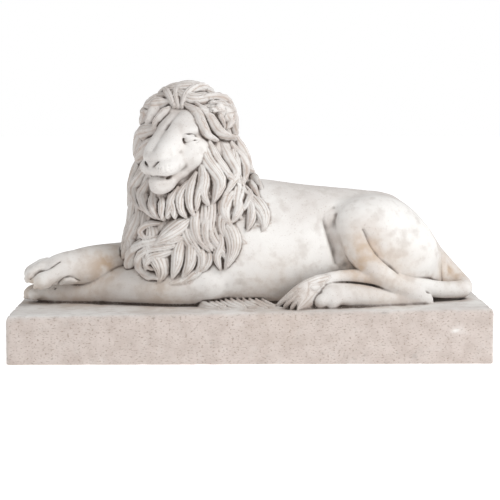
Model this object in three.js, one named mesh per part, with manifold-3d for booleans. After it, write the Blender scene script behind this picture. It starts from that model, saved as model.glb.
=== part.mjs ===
// Reclining lion with crossed forepaws, cast in one with its plinth.
// Millimetres, +Z up. The origin is the middle of the underside, the paws lie towards -X, and the
// lion's left side faces -Y.
import * as THREE from "three";
import { mergeVertices } from "three/addons/utils/BufferGeometryUtils.js";
import Module from "manifold-3d";

const wasm = await Module();
wasm.setup();

// Driving dimensions
const PLINTH_LENGTH = 1050;
const PLINTH_DEPTH = 400;
const PLINTH_HEIGHT_AT_PAWS = 105;
const PLINTH_HEIGHT_AT_TAIL = 120;
const PLINTH_TOP_ROUNDING = 7;
const PLINTH_CORNER_RADIUS = 8;
const FIGURE_HEIGHT = 500; // from the middle of the plinth's top to the crown of the mane
const SINK = 14; // how far the figure's underside runs into the plinth

// The figure keeps its proportions: each of its places is in five-hundredths of its height,
// measured from the middle of the plinth's top.
const UNIT = FIGURE_HEIGHT / 500;
const TOP_AT_MIDDLE = (PLINTH_HEIGHT_AT_PAWS + PLINTH_HEIGHT_AT_TAIL) / 2;
const place = (x, y, z) => new THREE.Vector3(x, y, z).multiplyScalar(UNIT);
const inUnits = (length) => length / UNIT;
const radians = THREE.MathUtils.degToRad;
const { lerp, smoothstep } = THREE.MathUtils;

// A closed skin over rings of equally many points, with each end closed to its middle
function skin(rings) {
  const sides = rings[0].length;
  const middle = (ring) => ring.reduce((sum, p) => sum.clone().add(p)).divideScalar(sides);
  const points = [...rings.flat(), middle(rings[0]), middle(rings.at(-1))];
  const first = rings.length * sides;
  const faces = [];
  for (let side = 0; side < sides; side++) {
    const next = (side + 1) % sides;
    for (let ring = 0; ring < rings.length - 1; ring++) {
      const [a, b] = [ring * sides + side, ring * sides + next];
      faces.push(a, b, b + sides, a, b + sides, a + sides);
    }
    const end = first - sides;
    faces.push(first, next, side, first + 1, end + side, end + next);
  }
  const geometry = new THREE.BufferGeometry().setFromPoints(points);
  geometry.setIndex(faces);
  return geometry;
}

// A three.js geometry as a solid
function solid(geometry) {
  geometry.deleteAttribute("normal");
  geometry.deleteAttribute("uv");
  const merged = mergeVertices(geometry, 1e-3);
  return new wasm.Manifold(
    new wasm.Mesh({
      numProp: 3,
      vertProperties: merged.attributes.position.array,
      triVerts: new Uint32Array(merged.index.array),
    }),
  );
}

const join = (solids) => solids.reduce((whole, piece) => whole.add(piece));

function ellipsoid(centre, radii, { tilt = [0, 0, 0], across = 9, down = 7 } = {}) {
  const turn = new THREE.Euler(...tilt.map(radians));
  const matrix = new THREE.Matrix4().compose(
    place(...centre),
    new THREE.Quaternion().setFromEuler(turn),
    place(...radii),
  );
  return solid(new THREE.SphereGeometry(1, across, down).applyMatrix4(matrix));
}

// A round limb through stations [x, y, z, radius], with domed ends; flat squeezes it upwards
function limb(stations, { sides = 8, rings = 7, flat = 1, domes = 2 } = {}) {
  const centres = stations.map(([x, y, z]) => place(x, y, z));
  const curve = new THREE.CatmullRomCurve3(centres, false, "centripetal");
  const spans = stations.length - 1;
  const radiusAt = (u) => {
    const span = Math.min(spans - 1, Math.floor(u * spans));
    const share = smoothstep(u * spans - span, 0, 1);
    return lerp(stations[span][3], stations[span + 1][3], share) * UNIT;
  };
  const ringAt = (u, along, scale) => {
    const [centre, forward] = [curve.getPoint(u), curve.getTangent(u)];
    const side = new THREE.Vector3().crossVectors(forward, new THREE.Vector3(0, 0, 1)).normalize();
    const up = new THREE.Vector3().crossVectors(side, forward);
    const radius = radiusAt(u);
    centre.addScaledVector(forward, along * radius);
    return Array.from({ length: sides }, (_, i) => {
      const angle = -(i / sides) * 2 * Math.PI;
      return centre
        .clone()
        .addScaledVector(side, Math.cos(angle) * radius * scale)
        .addScaledVector(up, Math.sin(angle) * radius * scale * flat);
    });
  };
  const dome = (end, sign) =>
    Array.from({ length: domes }, (_, i) => {
      const angle = ((domes - i) / (domes + 0.6)) * (Math.PI / 2);
      return ringAt(end, sign * Math.sin(angle), Math.cos(angle));
    });
  const body = Array.from({ length: rings }, (_, i) => ringAt(i / (rings - 1), 0, 1));
  return solid(skin([...dome(0, -1), ...body, ...dome(1, 1).reverse()]));
}

// The plinth: a block whose top rises towards the tail, with worn top edges and corners
function plinth() {
  const heightAt = (x) =>
    lerp(PLINTH_HEIGHT_AT_PAWS, PLINTH_HEIGHT_AT_TAIL, x / PLINTH_LENGTH + 0.5);
  const cornerSteps = 3;
  const outline = (inset) => {
    const points = [];
    const radius = PLINTH_CORNER_RADIUS;
    const [alongX, alongY] = [PLINTH_LENGTH / 2 - radius, PLINTH_DEPTH / 2 - radius];
    for (const [quarter, sx, sy] of [[0, 1, 1], [1, -1, 1], [2, -1, -1], [3, 1, -1]])
      for (let i = 0; i <= cornerSteps; i++) {
        const angle = (quarter + i / cornerSteps) * (Math.PI / 2);
        const reach = radius - inset;
        points.push([sx * alongX + Math.cos(angle) * reach, sy * alongY + Math.sin(angle) * reach]);
      }
    return points;
  };
  const ring = (inset, drop) =>
    outline(inset).map(([x, y]) => new THREE.Vector3(x, y, drop === null ? 0 : heightAt(x) - drop));
  const r = PLINTH_TOP_ROUNDING;
  const rounding = [0, 30, 60, 90].map((angle) => {
    const turn = radians(angle);
    return ring(r * (1 - Math.cos(turn)), r * (1 - Math.sin(turn)));
  });
  return solid(skin([ring(0, null), ...rounding]));
}

// The trunk: sections [x, middle y, half width, top z] that stand in the plinth
const TRUNK = [
  [-235, 0, 55, 150],
  [-195, 0, 92, 205],
  [-120, 2, 118, 262],
  [-40, 4, 127, 281],
  [35, 6, 127, 275],
  [116, 8, 121, 264],
  [190, 10, 108, 257],
  [260, 12, 104, 250],
  [315, 12, 102, 242],
  [345, 12, 98, 226],
  [380, 12, 88, 198],
  [415, 12, 72, 155],
  [440, 12, 52, 112],
  [455, 12, 30, 80],
];
const TRUNK_FULLNESS = 2.25; // 2 is an ellipse, more is squarer

function trunk(sides = 18) {
  const rings = TRUNK.map(([x, y, halfWidth, top]) => {
    const halfHeight = (top + inUnits(SINK)) / 2;
    return Array.from({ length: sides }, (_, i) => {
      const angle = -(i / sides) * 2 * Math.PI;
      const swell = (value) => Math.sign(value) * Math.abs(value) ** (2 / TRUNK_FULLNESS);
      return place(
        x,
        y + halfWidth * swell(Math.cos(angle)),
        top - halfHeight + halfHeight * swell(Math.sin(angle)),
      );
    });
  });
  return solid(skin(rings.reverse()));
}

// Hind quarters; side is -1 for the near leg and 1 for the far one
function hindLeg(side) {
  const haunch = { tilt: [0, 24, 0], across: 14, down: 9 };
  const thigh = [
    [335, side * 52 + 8, 156, 46],
    [290, side * 70 + 8, 184, 50],
    [234, side * 84 + 4, 184, 42],
  ];
  const shin = [
    [222, side * 92 + 4, 184, 34],
    [246, side * 106, 122, 33],
    [292, side * 108, 72, 28],
    [372, side * 102, 24, 18],
  ];
  const foot = [
    [392, side * 98, 14, 14],
    [320, side * 108, 15, 19],
    [250, side * 120, 23, 27],
    [178, side * 128, 29, 30],
  ];
  const pieces = [
    ellipsoid([316, side * 70 + 8, 128], [106, 62, 90], haunch),
    limb(thigh),
    limb(shin),
    limb(foot, { flat: 0.95 }),
  ];
  const toes = [[186, 152, 14], [154, 141, 17], [146, 122, 18], [156, 104, 16]];
  for (const [x, y, radius] of toes) pieces.push(toe([x, side * y, radius + 2], radius, 0));
  return join(pieces);
}

// One toe, pointing to -X and turned by heading degrees about the upright
const toe = (centre, radius, heading) =>
  ellipsoid(centre, [radius * 1.7, radius * 0.86, radius * 1.15], {
    tilt: [0, 0, heading],
    across: 7,
    down: 4,
  });

// The near forearm lies flat, and the far one crosses over its wrist
function nearForeleg() {
  const forearm = [
    [-95, -66, 58, 56],
    [-165, -58, 44, 48],
    [-262, -24, 40, 44],
    [-350, 8, 26, 34],
    [-430, 26, 14, 25],
  ];
  const toes = [[-484, 8], [-497, 24], [-497, 43], [-484, 60]];
  return join([
    limb(forearm, { rings: 9, sides: 9 }),
    ellipsoid([-455, 34, 16], [46, 32, 22]),
    ...toes.map(([x, y]) => toe([x, y, 14], 14, 0)),
  ]);
}

function farForeleg() {
  const forearm = [
    [-120, 84, 70, 56],
    [-190, 84, 74, 48],
    [-262, 50, 84, 40],
    [-335, 8, 86, 35],
    [-392, -14, 78, 33],
  ];
  const toes = [[-448, -56, 50, 20], [-474, -40, 64, 19], [-482, -16, 68, 19], [-474, 6, 64, 18]];
  return join([
    limb(forearm, { rings: 9, sides: 9 }),
    ellipsoid([-428, -24, 74], [56, 38, 37], { tilt: [0, -14, 8] }),
    ellipsoid([-138, 80, 32], [82, 50, 58]),
    ...toes.map(([x, y, z, radius]) => toe([x, y, z], radius, 8)),
  ]);
}

const TAIL = [
  [400, 12, 112, 32],
  [434, 11, 83, 27],
  [464, 2, 53, 24],
  [484, -24, 34, 21],
  [468, -54, 32, 19],
  [423, -72, 34, 19],
  [376, -88, 44, 18.5],
  [332, -100, 57, 18],
  [288, -110, 65, 17],
  [221, -120, 71, 13.5],
  [170, -132, 66, 12.5],
  [136, -144, 50, 14],
];
const TUFT_LOCKS = 5;

function tail() {
  const root = ellipsoid([442, -4, 36], [34, 30, 44]);
  const pieces = [limb(TAIL, { sides: 7, rings: 15, domes: 1 }), root];
  for (let i = 0; i < TUFT_LOCKS; i++) {
    const spread = i / (TUFT_LOCKS - 1) - 0.5;
    const path = [
      [158, -138 - 8 * spread, 62 + 10 * spread],
      [130, -150 - 10 * spread, 46 + 22 * spread],
      [104 - 8 * spread, -154 + 14 * spread, 24 + 30 * spread],
      [78 - 26 * spread, -152 + 34 * spread, 4 + 16 * spread],
    ];
    pieces.push(leaf(facing(path, [-0.3, -0.8, 0.6]), 15, 9));
  }
  return join(pieces);
}

// A lock of hair: a leaf with a ridge, blunt at its root and pointed at its tip.
// The path holds places with the direction that faces away from the body.
const LEAF_STATIONS = [0, 0.3, 0.65, 0.94];
const leafWidth = (s) => Math.sin(Math.PI * Math.min(1, 0.2 + 0.8 * s) ** 0.85) ** 0.8;

const facing = (path, out) => path.map((p) => ({ at: place(...p), out: place(...out).normalize() }));

function leaf(path, width, thickness) {
  const curve = new THREE.CatmullRomCurve3(path.map((step) => step.at), false, "centripetal");
  const rings = LEAF_STATIONS.map((s) => {
    const [centre, forward] = [curve.getPoint(s), curve.getTangent(s)];
    const span = s * (path.length - 1);
    const step = Math.min(path.length - 2, Math.floor(span));
    const out = path[step].out.clone().lerp(path[step + 1].out, span - step);
    const side = new THREE.Vector3().crossVectors(forward, out).normalize();
    out.crossVectors(side, forward);
    const [w, t] = [leafWidth(s) * width * UNIT, Math.max(0.3, leafWidth(s)) * thickness * UNIT];
    return [[0, -1], [-1, 0], [-0.35, 0.86], [0.35, 1], [1, 0]].map(([across, height]) =>
      centre.clone().addScaledVector(side, across * w).addScaledVector(out, height * t),
    );
  });
  return solid(skin(rings));
}

// The mane stands on level oval sections [z, middle x, middle y, radius along x, radius along y]
const MANE = [
  [500, -130, -12, 20, 18],
  [485, -134, -12, 48, 42],
  [452, -136, -12, 78, 68],
  [420, -136, -10, 94, 84],
  [380, -134, -6, 101, 94],
  [340, -131, -3, 114, 106],
  [300, -128, 0, 124, 116],
  [258, -124, 0, 134, 124],
  [215, -128, 0, 134, 126],
  [172, -140, -2, 127, 122],
  [130, -154, -6, 118, 112],
  [92, -168, -10, 106, 96],
  [62, -168, -12, 80, 72],
  [40, -160, -10, 40, 40],
];

function maneSection(z) {
  const below = Math.max(1, MANE.findIndex((section) => section[0] <= z));
  const [high, low] = [MANE[below - 1], MANE[below]];
  const share = THREE.MathUtils.clamp((high[0] - z) / (high[0] - low[0]), 0, 1);
  return high.map((value, i) => lerp(value, low[i], share));
}

// A place on the mane, lifted off it; the azimuth is 0 towards -Y and 90 degrees towards +X
function onMane(azimuth, z, lift) {
  const [, x, y, rx, ry] = maneSection(z);
  return place(x + (rx + lift) * Math.sin(azimuth), y - (ry + lift) * Math.cos(azimuth), z);
}

// Rows of locks from the chest up: height of the roots and drop to the tips
const ROWS = [
  { root: 128, drop: 82 },
  { root: 186, drop: 104 },
  { root: 244, drop: 108 },
  { root: 304, drop: 112 },
  { root: 364, drop: 112 },
  { root: 420, drop: 104 },
  { root: 470, drop: 92 },
];
const LOCKS_IN_ROUND = 15;
const COLUMNS_IN_LOCK = 4;
const LOCK_THICKNESS = 15;
const LOCK_SWAY = radians(6);
const ROW_WAVE = 15; // how far the rows rise and fall around the mane

// How far a lock stands off the mane; across is 0 on its ridge and 1 half-way to the next lock
function lockRelief({ root, drop }, across, z) {
  const down = (root - z) / drop;
  if (down < 0 || down > 1) return 0;
  const halfWidth = 0.98 * (1 - down ** 3.5);
  if (across >= halfWidth) return 0;
  return inUnits(LOCK_THICKNESS) * (0.3 + 0.7 * down ** 0.6) * (1 - (across / halfWidth) ** 2 * 0.55);
}

// The mane is one skin whose columns run along the locks, so that each ridge and furrow has its
// own points
function mane() {
  const columns = LOCKS_IN_ROUND * COLUMNS_IN_LOCK;
  const heights = ROWS.flatMap(({ root, drop }) => [root + 1, root - drop * 0.2, root - drop * 0.42]);
  const top = MANE[0][0];
  const foot = MANE.at(-1)[0];
  const levels = [...heights, top, top - 8, foot, foot + 14, foot + 30].sort((a, b) => b - a);
  const rings = levels.map((level) => {
    const sway = LOCK_SWAY * Math.sin(level / 19);
    return Array.from({ length: columns }, (_, column) => {
      const azimuth = (column / columns) * 2 * Math.PI + sway;
      const relief = ROWS.map((row, i) => {
        const shifted = column + (i % 2) * (COLUMNS_IN_LOCK / 2);
        const half = COLUMNS_IN_LOCK / 2;
        return lockRelief(row, Math.abs(((shifted % COLUMNS_IN_LOCK) - half) / half), level);
      });
      const inside = smoothstep(level, foot, foot + 60) * smoothstep(-level, -top, 40 - top);
      const wave = inUnits(ROW_WAVE) * inside * Math.sin(3 * azimuth + level / 45);
      return onMane(azimuth, level + wave, Math.max(...relief));
    });
  });
  return solid(skin(rings.map((ring) => ring.reverse())));
}

// The head, in its own frame: x to the lion's right, y ahead, z up
const HEAD = { at: [-106, -38, 401], heading: -45, nod: -20 };

function headFrame() {
  const turn = new THREE.Euler(radians(HEAD.nod), 0, radians(180 + HEAD.heading), "ZYX");
  return new THREE.Matrix4().makeRotationFromEuler(turn).setPosition(place(...HEAD.at));
}

function head() {
  const both = (make) => [make(-1), make(1)];
  const bridge = [[0, 50, 10, 36], [0, 92, 2, 31], [0, 132, -12, 27], [0, 154, -24, 22]];
  const brow = (side) => [[side * 14, 92, 22, 9], [side * 40, 80, 18, 9], [side * 62, 62, 8, 8]];
  const pieces = [
    ellipsoid([0, 0, 0], [58, 76, 60]),
    ellipsoid([0, 50, 18], [50, 46, 34]),
    limb(bridge, { rings: 5, domes: 1 }),
    ellipsoid([0, 90, -60], [46, 62, 34]),
    ellipsoid([0, 152, -82], [27, 28, 22]),
    ellipsoid([0, 160, -18], [27, 15, 13], { across: 8, down: 5 }),
    ...both((side) => ellipsoid([side * 20, 142, -44], [32, 38, 28])),
    ...both((side) => ellipsoid([side * 38, 76, -32], [34, 46, 40])),
    ...both((side) => limb(brow(side), { sides: 6, rings: 4, domes: 1 })),
    ...both((side) => ellipsoid([side * 40, 88, 2], [13, 13, 12], { across: 8, down: 6 })),
    ...both((side) => ellipsoid([side * 54, -4, 40], [22, 13, 27], { tilt: [0, side * 28, 0] })),
  ];
  return join(pieces).transform(headFrame().elements);
}

// Strokes of belly hair that run out over the plinth
const BELLY_STROKES = 6;

function bellyHair() {
  return join(
    Array.from({ length: BELLY_STROKES }, (_, i) => {
      const x = lerp(-70, 66, i / (BELLY_STROKES - 1));
      const reach = 10 * Math.sin(i * 2.3);
      const path = [
        [x - 14, -96, 20],
        [x, -112, 8],
        [x + 14, -126, 1],
        [x + 26 + reach, -140 - reach * 0.4, -5],
      ];
      return leaf(facing(path, [0, -0.5, 1]), 9, 7);
    }),
  );
}

function lion() {
  const figure = join([
    trunk(),
    hindLeg(-1),
    hindLeg(1),
    nearForeleg(),
    farForeleg(),
    tail(),
    bellyHair(),
    mane(),
    head(),
  ]).translate([0, 0, TOP_AT_MIDDLE]);
  const standing = figure.subtract(underPlinth()).add(plinth());
  const shells = standing.decompose().sort((a, b) => b.volume() - a.volume());
  return shells[0]; // pockets shut in between the locks are filled, as in a casting
}

// All that lies below the underside
function underPlinth() {
  const block = new THREE.BoxGeometry(2 * PLINTH_LENGTH, 2 * PLINTH_DEPTH, PLINTH_LENGTH);
  return solid(block.translate(0, 0, PLINTH_HEIGHT_AT_PAWS / 2 - PLINTH_LENGTH / 2));
}

function geometryOf(made) {
  const { vertProperties, triVerts, numProp } = made.getMesh();
  const interleaved = new THREE.InterleavedBuffer(vertProperties, numProp);
  const geometry = new THREE.BufferGeometry();
  geometry.setAttribute("position", new THREE.InterleavedBufferAttribute(interleaved, 3, 0));
  geometry.setIndex(new THREE.BufferAttribute(triVerts, 1));
  return geometry;
}

const castStone = new THREE.MeshStandardMaterial({
  name: "cast_stone",
  color: 0xded8d0,
  roughness: 0.85,
  metalness: 0,
});

const statue = new THREE.Group();
const lionWithPlinth = new THREE.Mesh(geometryOf(lion()), castStone);
lionWithPlinth.name = "lion_with_plinth";
statue.add(lionWithPlinth);

export default statue;
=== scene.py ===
"""Looks of a reclining lion of cast stone, one with its plinth: one fine mesh, and its weathered stone,
with shade painted into its hollows and grooves.
"""

import bpy
import numpy as np
from mathutils import Euler, Matrix, Vector


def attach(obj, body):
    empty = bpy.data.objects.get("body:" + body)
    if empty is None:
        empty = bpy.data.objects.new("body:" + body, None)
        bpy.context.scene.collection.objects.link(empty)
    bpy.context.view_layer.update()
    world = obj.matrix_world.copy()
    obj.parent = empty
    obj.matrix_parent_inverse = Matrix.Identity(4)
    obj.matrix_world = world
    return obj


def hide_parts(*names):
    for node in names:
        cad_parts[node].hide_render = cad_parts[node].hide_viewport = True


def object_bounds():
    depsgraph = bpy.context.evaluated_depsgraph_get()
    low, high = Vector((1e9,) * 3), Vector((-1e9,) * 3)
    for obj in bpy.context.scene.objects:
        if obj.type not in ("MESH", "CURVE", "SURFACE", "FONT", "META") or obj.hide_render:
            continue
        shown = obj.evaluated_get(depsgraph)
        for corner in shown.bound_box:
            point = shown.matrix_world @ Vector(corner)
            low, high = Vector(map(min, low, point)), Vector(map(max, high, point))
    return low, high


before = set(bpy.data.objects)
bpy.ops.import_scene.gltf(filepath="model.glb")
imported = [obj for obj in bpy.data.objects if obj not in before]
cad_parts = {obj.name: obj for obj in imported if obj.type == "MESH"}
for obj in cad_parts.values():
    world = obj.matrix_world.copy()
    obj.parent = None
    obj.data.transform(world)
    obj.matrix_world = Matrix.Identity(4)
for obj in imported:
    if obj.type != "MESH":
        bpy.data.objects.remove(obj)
cad_low, cad_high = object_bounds()

# Millimetres. The figure's places are measured from the middle of the plinth's top.
MM = 0.001
TOP = 112.5
TOP_AT_PAWS, TOP_AT_TAIL = 105 - TOP, 120 - TOP
# How far the looks stay inside the solid's sides
INSET = 0.3
HALF_LENGTH = cad_high[0] / MM - INSET
HALF_DEPTH = cad_high[1] / MM - INSET
PLINTH_ROUNDING = 7
SINK = 14

# The clay's grid: its margin around the part, its top, its cells, the distance where it knows no
# form, and the band around each form that it works out
MARGIN = 8
HIGHEST = 520
CELL = 2.0
FAR = 60.0
BAND = 3 * CELL
MOST_TRIANGLES = 190_000

SEED = 7
rng = np.random.default_rng(SEED)

# The photograph's camera: its place in the part's frame, its turn in degrees, and its pixels
CAMERA_AT = (-60.8, -3600, 596.6)
CAMERA_TURN = (90 - 5.85, 0, -1.01)
FOCAL_PIXELS = 1599.8
PHOTO_PIXELS = 500
MIDDLE_PIXEL = PHOTO_PIXELS / 2
SENSOR_WIDTH = 36


# Signed distances


def smooth_min(a, b, blend):
    if blend <= 0:
        return np.minimum(a, b)
    near = np.maximum(blend - np.abs(a - b), 0) / blend
    return np.minimum(a, b) - near * near * (blend / 4)


def smooth_path(stations, per_span):
    """Rows of numbers through the stations, on a Catmull-Rom curve"""
    rows = np.array(stations, float)
    padded = np.vstack([2 * rows[0] - rows[1], rows, 2 * rows[-1] - rows[-2]])
    steps = np.linspace(0, 1, per_span, endpoint=False)[:, None]
    spans = []
    for before, start, end, after in zip(padded, padded[1:], padded[2:], padded[3:]):
        bend = 2 * before - 5 * start + 4 * end - after
        twist = 3 * start - before - 3 * end + after
        spans.append(start + (steps * (end - before) + steps**2 * bend + steps**3 * twist) / 2)
    return np.vstack([*spans, rows[-1:]])


def turned(x=0, y=0, z=0):
    """The axes, as columns, of a form turned by degrees about X, Y and Z"""
    return np.array(Euler(np.radians([x, y, z])).to_matrix(), np.float32)


class Form:
    """A distance function and the corners of the box that it fills"""

    def __init__(self, distance, low, high):
        self.distance = distance
        self.low = np.asarray(low, float)
        self.high = np.asarray(high, float)


def ellipsoid(centre, radii, axes=None):
    axes = np.eye(3) if axes is None else np.asarray(axes, float)
    centre, radii = np.array(centre, float), np.array(radii, float)

    def distance(x, y, z):
        away = [x - centre[0], y - centre[1], z - centre[2]]
        local = [sum(float(axes[i, j]) * away[i] for i in range(3)) for j in range(3)]
        near = np.sqrt(sum((local[j] * (1 / radii[j])) ** 2 for j in range(3)))
        far = np.sqrt(sum((local[j] * (1 / radii[j] ** 2)) ** 2 for j in range(3)))
        return near * (near - 1) / np.maximum(far, 1e-6)

    reach = np.sqrt(((axes * radii) ** 2).sum(1))
    return Form(distance, centre - reach, centre + reach)


def capsule(start, end):
    """A round cone between two stations [x, y, z, radius]"""
    along = end[:3] - start[:3]
    length = max(along @ along, 1e-6)

    def distance(x, y, z):
        dx, dy, dz = x - start[0], y - start[1], z - start[2]
        share = np.clip((dx * along[0] + dy * along[1] + dz * along[2]) / length, 0, 1)
        gap = (dx - share * along[0]) ** 2 + (dy - share * along[1]) ** 2 + (dz - share * along[2]) ** 2
        return np.sqrt(gap) - (start[3] + share * (end[3] - start[3]))

    reach = max(start[3], end[3])
    return Form(distance, np.minimum(start, end)[:3] - reach, np.maximum(start, end)[:3] + reach)


def limb(stations, per_span=5):
    path = smooth_path(stations, per_span)
    return [capsule(start, end) for start, end in zip(path, path[1:])]


# What a surface without hair has in place of a count of strands
NO_HAIR = 0.5


class Sculpt:
    """Clay on a grid of distances: negative inside.

    Each cell also has its distance from the mane's ground, and the strands counted across its lock.
    """

    def __init__(self, low, high):
        self.low = np.asarray(low, float)
        count = np.ceil((np.asarray(high, float) - self.low) / CELL).astype(int) + 1
        self.axes = [(self.low[i] + CELL * np.arange(count[i])).astype(np.float32) for i in range(3)]
        self.clay = np.full(count, FAR, np.float32)
        self.ground = np.full(count, FAR, np.float32)
        self.strand = np.full(count, NO_HAIR, np.float32)

    def window(self, low, high):
        first = np.clip(np.floor((low - self.low) / CELL).astype(int), 0, self.clay.shape)
        last = np.clip(np.ceil((high - self.low) / CELL).astype(int) + 1, 0, self.clay.shape)
        return tuple(slice(a, b) for a, b in zip(first, last))

    def places(self, window):
        x, y, z = (axis[cells] for axis, cells in zip(self.axes, window))
        return x[:, None, None], y[None, :, None], z[None, None, :]

    def at(self, spots):
        """The clay's values at the cells nearest to spots"""
        cells = np.rint((spots - self.low) / CELL).astype(int)
        cells = np.clip(cells, 0, np.array(self.clay.shape) - 1)
        return self.clay[cells[..., 0], cells[..., 1], cells[..., 2]]

    def shape(self, forms, inner, reach):
        """The forms joined with each other, on the window that holds them"""
        low = np.min([form.low for form in forms], 0) - reach
        high = np.max([form.high for form in forms], 0) + reach
        window = self.window(low, high)
        made = np.full([cells.stop - cells.start for cells in window], FAR, np.float32)
        for form in forms:
            part = self.window(form.low - reach, form.high + reach)
            local = tuple(slice(p.start - w.start, p.stop - w.start) for p, w in zip(part, window))
            made[local] = smooth_min(made[local], form.distance(*self.places(part)), inner)
        return window, made

    def join(self, forms, blend=0.0, inner=0.0):
        forms = forms if isinstance(forms, list) else [forms]
        window, made = self.shape(forms, inner, BAND + blend + inner)
        self.clay[window] = smooth_min(self.clay[window], made, blend)

    def lay(self, lock):
        """Adds a lock on the places within its reach"""
        window = self.window(lock.low, lock.high)
        clay, ground = self.clay[window], self.ground[window]
        low, high = lock.depths()
        near = (ground > low) & (ground < high) if lock.hugs else np.ones(clay.shape, bool)
        cells = np.nonzero(near)
        spots = np.stack([axis.ravel()[i] for axis, i in zip(self.places(window), cells)], -1)
        vertex, near = lock.nearest(spots)
        cells = tuple(i[near] for i in cells)
        made, turns = lock.distance(spots[near], vertex[near], ground[cells])
        before = clay[cells]
        strand = self.strand[window]
        strand[cells] = np.where(made < before, turns, strand[cells])
        clay[cells] = np.minimum(before, made)

    def normals(self, spots):
        """The clay's outward directions at spots"""
        slopes = [self.at(spots + step) - self.at(spots - step) for step in 1.5 * CELL * np.eye(3)]
        slopes = np.stack(slopes, -1)
        return slopes / np.maximum(np.linalg.norm(slopes, axis=-1, keepdims=True), 1e-6)

    def carve(self, forms, blend=0.0, inner=0.0):
        forms = forms if isinstance(forms, list) else [forms]
        window, made = self.shape(forms, inner, BAND + blend + inner)
        self.clay[window] = -smooth_min(-self.clay[window], made, blend)


# Plinth


def plinth_top(x):
    return TOP_AT_PAWS + (TOP_AT_TAIL - TOP_AT_PAWS) * (x / (2 * HALF_LENGTH) + 0.5)


def plinth():
    def distance(x, y, z):
        r = PLINTH_ROUNDING
        across = np.maximum(np.abs(x) - (HALF_LENGTH - r), 0)
        deep = np.maximum(np.abs(y) - (HALF_DEPTH - r), 0)
        high = np.maximum(z - (plinth_top(x) - r), 0)
        outside = np.sqrt(across**2 + deep**2 + high**2) - r
        inside = np.maximum(np.maximum(np.abs(x) - HALF_LENGTH, np.abs(y) - HALF_DEPTH), z - plinth_top(x))
        solid = np.where(inside > -r, outside, inside)
        return np.maximum(solid, -TOP - z)

    return Form(distance, (-HALF_LENGTH, -HALF_DEPTH, -TOP), (HALF_LENGTH, HALF_DEPTH, TOP_AT_TAIL))


# Trunk and limbs

# [x, middle y, half width, top z]
TRUNK = smooth_path(
    [
        [-235, 0, 55, 150],
        [-195, 0, 92, 205],
        [-120, 2, 118, 262],
        [-40, 4, 127, 281],
        [35, 6, 127, 275],
        [116, 8, 121, 264],
        [190, 10, 108, 257],
        [260, 12, 104, 250],
        [315, 12, 102, 242],
        [345, 12, 98, 226],
        [380, 12, 88, 198],
        [415, 12, 72, 155],
        [440, 12, 52, 112],
        [455, 12, 30, 80],
    ],
    6,
)
FULLNESS = 2.25


def trunk_distance(x, y, z):
    middle, half_width, top = (np.interp(x, TRUNK[:, 0], TRUNK[:, i]).astype(np.float32) for i in (1, 2, 3))
    half_height = (top + SINK) / 2
    across = np.abs(y - middle) / half_width
    upward = np.abs(z - (top - half_height)) / half_height
    ring = (across**FULLNESS + upward**FULLNESS) ** (1 / FULLNESS)
    return np.maximum((ring - 1) * np.minimum(half_width, half_height), np.abs(x - 110) - 345)


def trunk():
    return Form(trunk_distance, (-235, -125, -SINK), (455, 135, 282))


def toe(x, y, z, radius, knuckle, middle):
    """A toe from its knuckle, near the paw's middle, to its rounded end, with a blunt claw under it"""
    stations = [
        [x + 3.6 * radius, y + 0.5 * (middle - y), z + 0.4 * knuckle, radius * 0.8],
        [x + 1.8 * radius, y + 0.2 * (middle - y), z + knuckle, radius * 0.9],
        [x + 0.5 * radius, y, z + 0.25 * radius, radius * 1.02],
        [x, y, z, radius * 0.94],
    ]
    claw = ellipsoid((x - 0.7 * radius, y, z - 0.62 * radius), (0.3 * radius, 0.22 * radius, 0.26 * radius))
    return limb(stations, 3), claw


def paw(clay, toes, knuckle, middle):
    for x, y, z, radius in toes:
        form, claw = toe(x, y, z, radius, knuckle, middle)
        window, made = clay.shape(form, 2, BAND + 6)
        clay.clay[window] = smooth_min(clay.clay[window], made, 4)
        clay.join(claw, 1)


def hind_leg(clay, side):
    haunch = ellipsoid((316, side * 70 + 8, 126), (106, 60, 90), turned(y=24))
    thigh = limb(
        [
            [335, side * 52 + 8, 150, 46],
            [290, side * 70 + 8, 180, 50],
            [234, side * 84 + 4, 182, 42],
        ]
    )
    shin = limb(
        [
            [224, side * 92 + 4, 182, 34],
            [246, side * 106, 122, 33],
            [292, side * 108, 72, 28],
            [372, side * 102, 24, 18],
        ]
    )
    foot = limb(
        [
            [392, side * 98, 14, 14],
            [320, side * 108, 15, 19],
            [250, side * 120, 23, 27],
            [178, side * 128, 29, 30],
        ]
    )
    clay.join([haunch, *thigh], 22, 24)
    clay.join(shin, 7)
    clay.join(foot, 8)
    places = [[176, 152, 13], [154, 148, 15], [136, 132, 17], [142, 110, 16]]
    paw(clay, [[x, side * y, r + 1, r] for x, y, r in places], 8, side * 124)


def forelegs(clay):
    near = limb(
        [
            [-95, -66, 58, 56],
            [-165, -58, 44, 48],
            [-262, -24, 40, 44],
            [-350, 8, 26, 34],
            [-430, 26, 14, 25],
        ]
    )
    far = limb(
        [
            [-120, 84, 70, 56],
            [-190, 84, 74, 48],
            [-262, 50, 84, 40],
            [-335, 8, 86, 35],
            [-392, -14, 78, 33],
        ]
    )
    clay.join(near, 16)
    clay.join(ellipsoid((-455, 34, 16), (46, 32, 22)), 14)
    paw(clay, [[-488, 6, 14, 13], [-500, 24, 14, 14], [-500, 43, 14, 14], [-488, 60, 14, 13]], 9, 34)
    clay.join(ellipsoid((-138, 80, 32), (82, 50, 58)), 20)
    back_of_paw = ellipsoid((-418, -24, 76), (50, 38, 36), turned(y=-14, z=8))
    window, made = clay.shape([*far, back_of_paw], 16, BAND + 16)
    clay.clay[window] = smooth_min(clay.clay[window], made, 6)
    paw(clay, [[-463, -56, 51, 19], [-484, -35, 62, 19], [-489, -9, 64, 19], [-476, 15, 62, 17]], 19, -16)


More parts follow.
